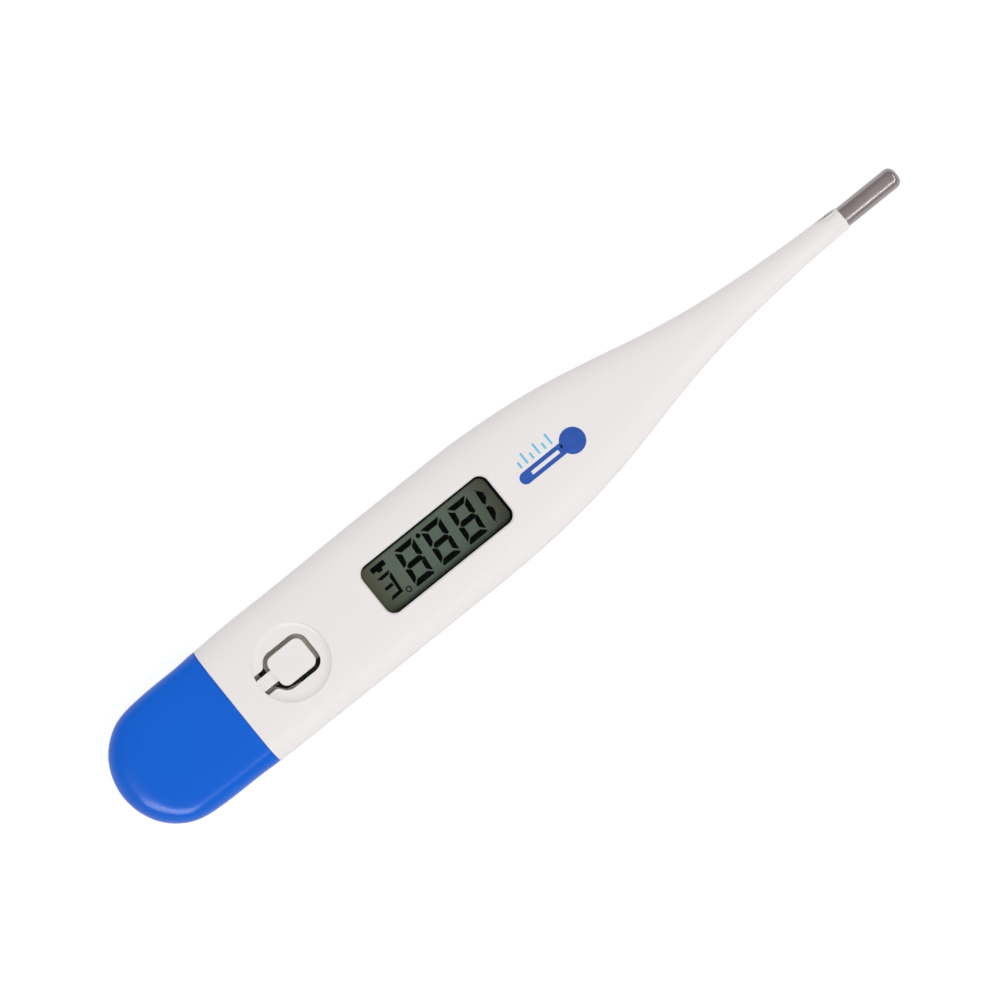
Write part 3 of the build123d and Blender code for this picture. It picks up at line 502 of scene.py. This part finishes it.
def arc_band(cx, cy, inner, outer, start, end, count):
    """Quads filling a band between two radii, from start to end degrees."""
    quads = []
    for i in range(count):
        a = math.radians(start + (end - start) * i / count)
        b = math.radians(start + (end - start) * (i + 1) / count)
        quads.append([(cx + r * math.cos(angle), cy + r * math.sin(angle))
                      for r, angle in ((inner, a), (outer, a), (outer, b), (inner, b))])
    return quads


# ------------------------------------------------------------------ display segments
# (x, y) outlines of the seven segments of the digit nearest the cap
DIGIT = [
    [(16.693, -2.746), (13.903, -2.746), (14.521, -2.071), (16.075, -2.071)],
    [(16.872, -2.379), (16.195, -1.783), (16.394, -0.711), (16.772, -0.333), (17.031, -0.353)],
    [(13.824, -2.399), (14.541, -1.823), (14.661, -0.770), (14.322, -0.313), (14.023, -0.353)],
    [(16.673, -0.085), (16.294, -0.433), (14.641, -0.433), (14.302, -0.075), (14.661, 0.263),
     (16.473, 0.263)],
    [(17.091, 0.094), (16.792, 0.094), (16.434, 0.521), (16.613, 1.554), (17.231, 2.130)],
    [(14.461, 0.133), (14.123, 0.084), (14.322, 2.110), (14.900, 1.494), (14.740, 0.541)],
    [(16.673, 1.871), (14.999, 1.871), (14.362, 2.447), (14.501, 2.576), (17.051, 2.596),
     (17.191, 2.447)],
]
DIGIT_SHIFTS = [(0.0, 0.0), (-4.263, 0.060), (-8.567, 0.119)]
# (x, y) outlines of the other marks
MARKS = [
    # two bars at the probe end of the display
    [(3.902, -2.280), (3.245, -1.525), (3.325, -0.711), (3.902, -0.115), (4.121, -0.452)],
    [(4.102, 0.263), (3.723, 0.362), (3.424, 0.839), (3.584, 1.534), (4.321, 2.348),
     (4.361, 2.030)],
    # strokes and blocks at the cap end of the display
    [(20.617, -1.267), (18.685, -1.306), (19.123, -0.929), (20.239, -0.889)],
    [(18.705, -0.989), (18.864, 0.441), (19.004, 1.891), (19.342, 1.534), (19.183, -0.572)],
    [(20.617, 0.173), (19.462, 0.173), (19.462, 0.551), (20.617, 0.551)],
    [(20.458, 1.573), (19.402, 1.534), (19.043, 1.911), (20.797, 1.951)],
    [(20.597, -2.846), (18.545, -2.846), (18.545, -2.180), (20.597, -2.180)],
    [(19.940, -2.220), (19.263, -2.220), (19.263, -1.823), (19.940, -1.823)],
]
DOT = (13.107, -2.379)          # centre of the dot between two digits
SMALL_RING = (18.247, 2.169)    # centre of the small ring


def build_segments():
    outlines = [[(x + dx, y + dy) for x, y in poly] for dx, dy in DIGIT_SHIFTS for poly in DIGIT]
    polys = [rounded(grown(poly, 0.035), radius=0.05) for poly in outlines + MARKS]
    polys.append(disc(*DOT, radius=0.31))
    polys += arc_band(*SMALL_RING, inner=0.26, outer=0.40, start=0, end=360, count=36)
    verts, faces = prisms(polys, bottom=8.752, top=8.765)
    segments = add_mesh("display_segments", verts, faces, surfaces["display_ink"])
    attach(segments, "module")


build_segments()

# ------------------------------------------------------------------ true surface normals
# stations of the outer skins: x, half width, half height, superellipse exponent
BODY_ROWS = [
    (44.70, 8.90, 5.22, 4.1), (42.00, 8.98, 5.25, 4.1), (34.00, 9.02, 5.25, 4.1),
    (24.00, 9.04, 5.25, 4.1), (14.00, 9.04, 5.25, 4.1), (6.00, 9.00, 5.25, 4.1),
    (1.70, 8.88, 5.23, 4.1), (-2.30, 8.61, 5.14, 4.05), (-6.30, 8.20, 4.97, 3.95),
    (-10.30, 7.64, 4.71, 3.8), (-14.30, 6.89, 4.38, 3.6), (-18.30, 6.02, 3.99, 3.35),
    (-22.30, 5.10, 3.57, 3.1), (-26.30, 4.23, 3.16, 2.8), (-30.30, 3.50, 2.80, 2.55),
    (-34.30, 2.94, 2.50, 2.35), (-38.30, 2.52, 2.26, 2.2), (-42.30, 2.18, 2.05, 2.1),
    (-46.30, 1.92, 1.87, 2.03), (-50.30, 1.73, 1.71, 2.0), (-54.57, 1.57, 1.57, 2.0),
]
# the cap's first column is the distance back from CAP_END
CAP_ROWS = [(CAP_END - back, *section) for back, *section in (
    (18.8, 8.87, 5.20, 4.1), (16.5, 8.80, 5.19, 4.1), (13.0, 8.76, 5.16, 4.05),
    (9.6, 8.69, 5.12, 4.0), (7.7, 8.55, 5.06, 3.9), (5.7, 8.14, 4.90, 3.7),
    (3.7, 7.12, 4.52, 3.4), (2.2, 5.80, 3.94, 3.1), (1.2, 4.42, 3.24, 2.8),
    (0.6, 3.16, 2.52, 2.5),
)]
FLAT_TOP = 0.12         # faces below this height borrow no normals


def spline(rows):
    """Natural cubic splines through the rows of a section table, as one function of x."""
    table = np.array(sorted(rows))
    x, y = table[:, 0], table[:, 1:]
    n = len(x)
    h = np.diff(x)
    system = np.zeros((n, n))
    target = np.zeros((n, 3))
    system[0, 0] = system[-1, -1] = 1.0
    for i in range(1, n - 1):
        system[i, i - 1:i + 2] = h[i - 1], 2 * (h[i - 1] + h[i]), h[i]
        target[i] = 6 * ((y[i + 1] - y[i]) / h[i] - (y[i] - y[i - 1]) / h[i - 1])
    bend = np.linalg.solve(system, target)

    def section_at(place):
        i = int(np.clip(np.searchsorted(x, place) - 1, 0, n - 2))
        ahead, behind = x[i + 1] - place, place - x[i]
        return ((bend[i] * ahead ** 3 + bend[i + 1] * behind ** 3) / (6 * h[i])
                + (y[i] / h[i] - bend[i] * h[i] / 6) * ahead
                + (y[i + 1] / h[i] - bend[i + 1] * h[i] / 6) * behind)

    return section_at


def build_skin(name, rows, x0, x1, step, keep, count=288):
    """A fine mesh of the true outer surface, used only to lend its normals."""
    section_at = spline(rows)
    stations = np.linspace(x0, x1, int((x1 - x0) / step) + 2)
    angles = np.arange(count) * 2 * np.pi / count
    # spread the points round the corners of the section
    c, s = (np.sign(wave) * np.abs(wave) ** 0.62 for wave in (np.cos(angles), np.sin(angles)))
    verts = []
    for x in stations:
        width, height, power = section_at(x)
        r = ((np.abs(c) / width) ** power + (np.abs(s) / height) ** power) ** (-1 / power)
        verts += [(x, r[k] * c[k], AXIS_Z + r[k] * s[k]) for k in range(count)]
    faces = []
    for i in range(len(stations) - 1):
        here, after = i * count, (i + 1) * count
        for k in range(count):
            beside = (k + 1) % count
            quad = (here + k, here + beside, after + beside, after + k)
            if keep(*[sum(verts[v][axis] for v in quad) / 4 for axis in range(3)]):
                faces.append(quad)
    mesh = bpy.data.meshes.new(name)
    mesh.from_pydata([(x * MM, y * MM, z * MM) for x, y, z in verts], [], faces)
    smooth(mesh)
    mesh.update()
    return bpy.data.objects.new(name, mesh)


def lend_normals(piece_name, skin):
    transfer = pieces[piece_name].modifiers.new("true_normals", "DATA_TRANSFER")
    transfer.object = skin
    transfer.use_object_transform = False
    transfer.use_loop_data = True
    transfer.data_types_loops = {"CUSTOM_NORMAL"}
    transfer.loop_mapping = "POLYINTERP_LNORPROJ"
    transfer.use_max_distance = True
    transfer.max_distance = 0.00012


def on_casing(x, y, z):
    """Leaves out the underside and the middle of the top from x = 0.5 on."""
    return z > FLAT_TOP and not (z > AXIS_Z and abs(y) < 6.0 and x > 0.5)


def on_cap(_x, _y, z):
    return z > FLAT_TOP


lend_normals("casing", build_skin("casing_ref", BODY_ROWS, -55.60, 44.60, 0.35, on_casing))
lend_normals("battery_cap", build_skin("cap_ref", CAP_ROWS, 44.97, 62.88, 0.2, on_cap))

# ------------------------------------------------------------------ printed thermometer sign
SIGN_X, SIGN_Y = -9.75, 0.55    # centre of the bulb; the stem runs towards +x
STEM_HALF = 0.82                # half the stem's outer width
STEM_BORE = 0.25                # half the width of its open middle
STEM_END = 7.6                  # from the bulb's centre to the stem's round end
PRINT_TOP = 0.012               # height of the ink's top above the casing
PRINT_THICK = 0.02
PRINT_STEP = 0.35               # spacing of the cuts that let the ink follow the casing


def casing_tree():
    mesh = pieces["casing"].data
    return BVHTree.FromPolygons([v.co.copy() for v in mesh.vertices],
                                [tuple(p.vertices) for p in mesh.polygons])


def drape(name, polys, surface):
    """Cuts convex polygons fine, lays them on the casing's top and thickens them."""
    bm = bmesh.new()
    for poly in polys:
        bm.faces.new([bm.verts.new((x * MM, y * MM, 0)) for x, y in counterclockwise(poly)])
    bmesh.ops.remove_doubles(bm, verts=bm.verts, dist=1e-7)
    spans = []
    for axis in (0, 1):
        places = [v.co[axis] for v in bm.verts]
        spans.append((min(places), max(places)))
    step = PRINT_STEP * MM
    for normal, (low, high) in zip(((1, 0, 0), (0, 1, 0)), spans):
        cut = low + step
        while cut < high:
            bmesh.ops.bisect_plane(bm, geom=bm.verts[:] + bm.edges[:] + bm.faces[:],
                                   plane_co=[cut * part for part in normal], plane_no=normal)
            cut += step
    for v in bm.verts:
        hit = casing.ray_cast(Vector((v.co.x, v.co.y, 0.03)), Vector((0, 0, -1)))
        v.co.z = hit[0].z + (PRINT_TOP - PRINT_THICK) * MM
    extruded = bmesh.ops.extrude_face_region(bm, geom=bm.faces[:])
    for part in extruded["geom"]:
        if isinstance(part, bmesh.types.BMVert):
            part.co.z += PRINT_THICK * MM
    bmesh.ops.recalc_face_normals(bm, faces=bm.faces)
    mesh = bpy.data.meshes.new(name)
    bm.to_mesh(mesh)
    bm.free()
    printed = add_object(name, mesh, surface)
    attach(printed, "body")


def stem_polys():
    """Four boxes round the open middle of the stem."""
    return [
        box(SIGN_X + x0, SIGN_X + x1, SIGN_Y + y0, SIGN_Y + y1)
        for x0, x1, y0, y1 in (
            (1.45, 2.2, -STEM_HALF, STEM_HALF), (2.2, 6.6, -STEM_HALF, -STEM_BORE),
            (2.2, 6.6, STEM_BORE, STEM_HALF), (6.6, STEM_END, -STEM_HALF, STEM_HALF),
        )
    ]


def tick_polys():
    """Six scale ticks beside the stem, long and short by turns."""
    ticks = []
    for i in range(6):
        x = SIGN_X + 2.3 + i * 0.98
        reach = 2.9 if i % 2 == 0 else 2.2
        ticks.append(box(x - 0.15, x + 0.15, SIGN_Y - 1.3, SIGN_Y - reach))
    return ticks


casing = casing_tree()
bulb = arc_band(SIGN_X, SIGN_Y, inner=0.0001, outer=1.75, start=0, end=360, count=44)
stem_end = arc_band(SIGN_X + STEM_END, SIGN_Y, inner=0.0001, outer=STEM_HALF,
                    start=-90, end=90, count=20)
drape("print_bulb", bulb, surfaces["print_blue"])
drape("print_stem", stem_polys(), surfaces["print_blue"])
drape("print_stem_end", stem_end, surfaces["print_blue"])
drape("print_ticks", tick_polys(), surfaces["print_sky"])


# ------------------------------------------------------------------ button tongue
def build_tongue():
    """The button on its tongue, copied from the CAD piece."""
    tongue = add_object("button_tongue", pieces["power_button"].data.copy(),
                        surfaces["white_abs"])
    for v in tongue.data.vertices:
        # carry the end of the neck into the wall, so that no line shows where it flexes
        if v.co.x > 40.55 * MM:
            v.co.x += 0.12 * MM
    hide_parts("power_button")
    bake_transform(tongue)


build_tongue()

# ------------------------------------------------------------------ probe leads
LEAD_RADIUS = 0.15
# x, offset to the lead's own side, sway shared by both leads, z;
# the path has some slack
LEAD_PATH = [
    (-61.35, 0.32, 0.0, AXIS_Z), (-55.0, 0.36, 0.0, AXIS_Z), (-48.0, 0.36, 0.0, AXIS_Z),
    (-41.0, 0.36, 0.0, AXIS_Z), (-35.0, 0.42, 0.0, AXIS_Z - 0.05),
    (-30.0, 0.45, 0.5, AXIS_Z - 0.2), (-25.5, 0.45, 1.3, AXIS_Z - 0.4),
    (-20.5, 0.5, -0.2, AXIS_Z - 0.3), (-15.5, 0.6, -1.4, AXIS_Z),
    (-11.0, 0.9, -0.4, AXIS_Z + 0.1), (-8.0, 1.15, 0.0, BOARD_Z + 0.22),
    (-6.3, 1.2, 0.0, BOARD_Z + 0.17),
]


def tube(name, points, radius, surface):
    """A round wire along a smooth path, turned into a mesh."""
    curve = bpy.data.curves.new(name, "CURVE")
    curve.dimensions = "3D"
    curve.bevel_depth = radius * MM
    curve.bevel_resolution = 3
    curve.resolution_u = 10
    curve.use_fill_caps = True
    path = curve.splines.new("BEZIER")
    path.bezier_points.add(len(points) - 1)
    for knot, point in zip(path.bezier_points, points):
        knot.co = Vector(point) * MM
        knot.handle_left_type = knot.handle_right_type = "AUTO"
    carrier = bpy.data.objects.new(name + "_c", curve)
    scene.collection.objects.link(carrier)
    depsgraph = bpy.context.evaluated_depsgraph_get()
    mesh = bpy.data.meshes.new_from_object(carrier.evaluated_get(depsgraph))
    mesh.name = name
    bpy.data.objects.remove(carrier)
    smooth(mesh)
    return add_object(name, mesh, surface)


for colour, side in (("red", 1), ("black", -1)):
    path = [(x, side * offset + sway, z) for x, offset, sway, z in LEAD_PATH]
    lead = tube("probe_lead_" + colour, path, LEAD_RADIUS, surfaces[colour + "_wire"])
    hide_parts("lead_wires")
    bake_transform(lead)

# ------------------------------------------------------------------ snap dome
SWITCH = Vector((35.58, -0.95, 0.0))    # centre of the switch
DOME_CENTRE_Z = 2.35                    # centre of the dome's spheres
# radius and half angle in degrees of the outer and inner spheres
DOME_OUTER = (4.25, 28.07)
DOME_INNER = (4.16, 25.65)
DOME_STEPS = 12
DOME_TURNS = 40


def dome_arc(radius, half_angle):
    """(distance from the axis, z) points from the top of a sphere to its rim."""
    angles = [math.radians(half_angle * i / DOME_STEPS) for i in range(DOME_STEPS + 1)]
    return [(radius * math.sin(a), DOME_CENTRE_Z + radius * math.cos(a)) for a in angles]


def build_dome():
    """A thin spherical cap under the switch stem."""
    profile = dome_arc(*DOME_OUTER) + dome_arc(*DOME_INNER)[::-1]
    n = len(profile)
    verts, faces = [], []
    for k in range(DOME_TURNS):
        angle = 2 * math.pi * k / DOME_TURNS
        # a small hole is left at the axis, closed by the two last faces
        verts += [((SWITCH.x + max(r, 0.001) * math.cos(angle)) * MM,
                   (SWITCH.y + max(r, 0.001) * math.sin(angle)) * MM, z * MM)
                  for r, z in profile]
    for k in range(DOME_TURNS):
        a, b = k * n, ((k + 1) % DOME_TURNS) * n
        faces += [(a + i, b + i, b + i + 1, a + i + 1) for i in range(n - 1)]
    faces.append(tuple(k * n for k in range(DOME_TURNS)))
    faces.append(tuple(k * n + n - 1 for k in reversed(range(DOME_TURNS))))
    dome = add_mesh("snap_dome", verts, faces, surfaces["contact_steel"])
    smooth(dome.data)
    bm = bmesh.new()
    bm.from_mesh(dome.data)
    bmesh.ops.recalc_face_normals(bm, faces=bm.faces)
    bm.to_mesh(dome.data)
    bm.free()
    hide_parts("switch_dome")
    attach(dome, "module")
    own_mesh(dome)


build_dome()

# ------------------------------------------------------------------ studio
FLOOR_HALF = 1.2
FLOOR_DROP = 0.00005        # keeps the floor just clear of the underside
FLOOR_GREY = 0.22
SWEEP_GLOW = 0.87
MIRRORED_GLOW = 0.45


def floor_paper():
    """A sweep lit from within, as in a light tent."""
    paper = Surface("floor_paper", (FLOOR_GREY, FLOOR_GREY, FLOOR_GREY, 1), roughness=0.9)
    paper.drift(amount=0.004, scale=20)
    paper.set(Specular_IOR_Level=0.0, Emission_Color=(1, 1, 1, 1), Emission_Strength=SWEEP_GLOW)
    # mirror images of the sweep are dimmer, as they would be past the edge of the paper
    mirrored = paper.node("ShaderNodeLightPath").outputs["Is Glossy Ray"]
    paper.drive("Emission Strength",
                paper.remap(mirrored, SWEEP_GLOW, MIRRORED_GLOW, span=(0.0, 1.0)))
    return paper


def build_floor():
    floor = add_mesh("floor", [(x, y, 0) for x, y in box(-FLOOR_HALF, FLOOR_HALF,
                                                         -FLOOR_HALF, FLOOR_HALF)],
                     [(0, 1, 2, 3)], floor_paper())
    floor.location.z = -FLOOR_DROP
    floor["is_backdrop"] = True


def build_world():
    """Separate backgrounds for lighting, for reflections and for the camera."""
    world = bpy.data.worlds.new("studio")
    scene.world = world
    world.use_nodes = True
    tree = world.node_tree
    tree.nodes.clear()

    def background(strength):
        node = add_node(tree, "ShaderNodeBackground")
        node.inputs["Color"].default_value = (1, 1, 1, 1)
        node.inputs["Strength"].default_value = strength
        return node

    output = add_node(tree, "ShaderNodeOutputWorld")
    rays = add_node(tree, "ShaderNodeLightPath").outputs
    lighting = background(0.63)
    seen = background(1.05)
    # reflections see a grey room, darkest a little above the horizon and lightest overhead
    coord = add_node(tree, "ShaderNodeTexCoord")
    direction = add_node(tree, "ShaderNodeSeparateXYZ")
    tree.links.new(coord.outputs["Generated"], direction.inputs["Vector"])
    room = add_node(tree, "ShaderNodeValToRGB")
    stops = room.color_ramp.elements
    stops[0].position = 0.0
    stops[0].color = (0.34, 0.32, 0.32, 1)
    stops[1].position = 1.0
    stops[1].color = (0.44, 0.41, 0.41, 1)
    stops.new(0.35).color = (0.26, 0.245, 0.25, 1)
    tree.links.new(direction.outputs["Z"], room.inputs["Fac"])
    reflected = background(1.0)
    tree.links.new(room.outputs["Color"], reflected.inputs["Color"])
    unseen = mix_shaders(tree, rays["Is Glossy Ray"], lighting.outputs[0], reflected.outputs[0])
    mixed = mix_shaders(tree, rays["Is Camera Ray"], unseen, seen.outputs[0])
    tree.links.new(mixed, output.inputs["Surface"])


def softbox(name, at, aim, size, power):
    """A rectangular light; places and sizes in metres, power in watts."""
    light = bpy.data.lights.new(name, "AREA")
    light.shape = "RECTANGLE"
    light.size, light.size_y = size
    light.energy = power
    lamp = bpy.data.objects.new(name, light)
    scene.collection.objects.link(lamp)
    lamp.location = at
    lamp.rotation_euler = (Vector(aim) - Vector(at)).to_track_quat("-Z", "Y").to_euler()
    return lamp


def build_lights():
    key = softbox("key", at=(-0.10, 0.28, 0.77), aim=(0, 0, 0), size=(0.30, 0.30), power=1.86)
    key.visible_glossy = False
    softbox("fill", at=(-0.66, 0.10, 0.46), aim=(0, 0, 0), size=(0.60, 0.09), power=0.62)
    end = softbox("end", at=(0.60, 0.04, 0.40), aim=(0.04, 0, 0), size=(0.30, 0.20), power=0.42)
    end.visible_glossy = False
    # these two only show as highlights
    glint = softbox("glint", at=(-0.10, 0.50, 0.50), aim=(-0.03, 0, 0), size=(0.90, 0.10),
                    power=0.85)
    glint.visible_diffuse = False
    strip = softbox("strip", at=(0.56, 0.36, 0.37), aim=(0.05, 0, 0), size=(0.70, 0.24),
                    power=4.6)
    strip.visible_diffuse = False


CAMERA_DISTANCE = 520.0
CAMERA_HALF_VIEW = 63.95            # half the width seen at that distance
CAMERA_TILT = math.radians(0.7)     # from straight down, towards +y
CAMERA_TARGET = (2.15, 0.59, AXIS_Z)
CAMERA_RIGHT = (-0.7779, 0.6284, 0.0)


def build_camera():
    """Looks down on the display, with the cap at lower left and the probe at upper right."""
    back = Vector((0.0, math.sin(CAMERA_TILT), math.cos(CAMERA_TILT)))
    right = Vector(CAMERA_RIGHT)
    right = (right - back * right.dot(back)).normalized()
    up = back.cross(right)
    data = bpy.data.cameras.new("camera")
    data.sensor_width = 36.0
    data.angle = 2 * math.atan(CAMERA_HALF_VIEW / CAMERA_DISTANCE)
    data.clip_start = 0.01
    camera = bpy.data.objects.new("camera", data)
    scene.collection.objects.link(camera)
    place = Vector(CAMERA_TARGET) * MM + back * (CAMERA_DISTANCE * MM)
    turn = Matrix((right, up, back)).transposed().to_4x4()
    camera.matrix_world = Matrix.Translation(place) @ turn
    scene.camera = camera


build_floor()
build_world()
build_lights()
build_camera()

scene.view_settings.view_transform = "Standard"
scene.view_settings.look = "None"
scene.view_settings.exposure = 0.0
scene.view_settings.gamma = 1.0


# ------------------------------------------------------------------ sizes
def plain(bounds):
    if isinstance(bounds, dict):
        return {key: plain(value) for key, value in bounds.items()}
    if isinstance(bounds, (list, tuple, Vector, np.ndarray)):
        return [plain(value) for value in bounds]
    return float(bounds)


bpy.context.view_layer.update()
{"cad": plain(cad_bounds), "scene": plain(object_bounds())}
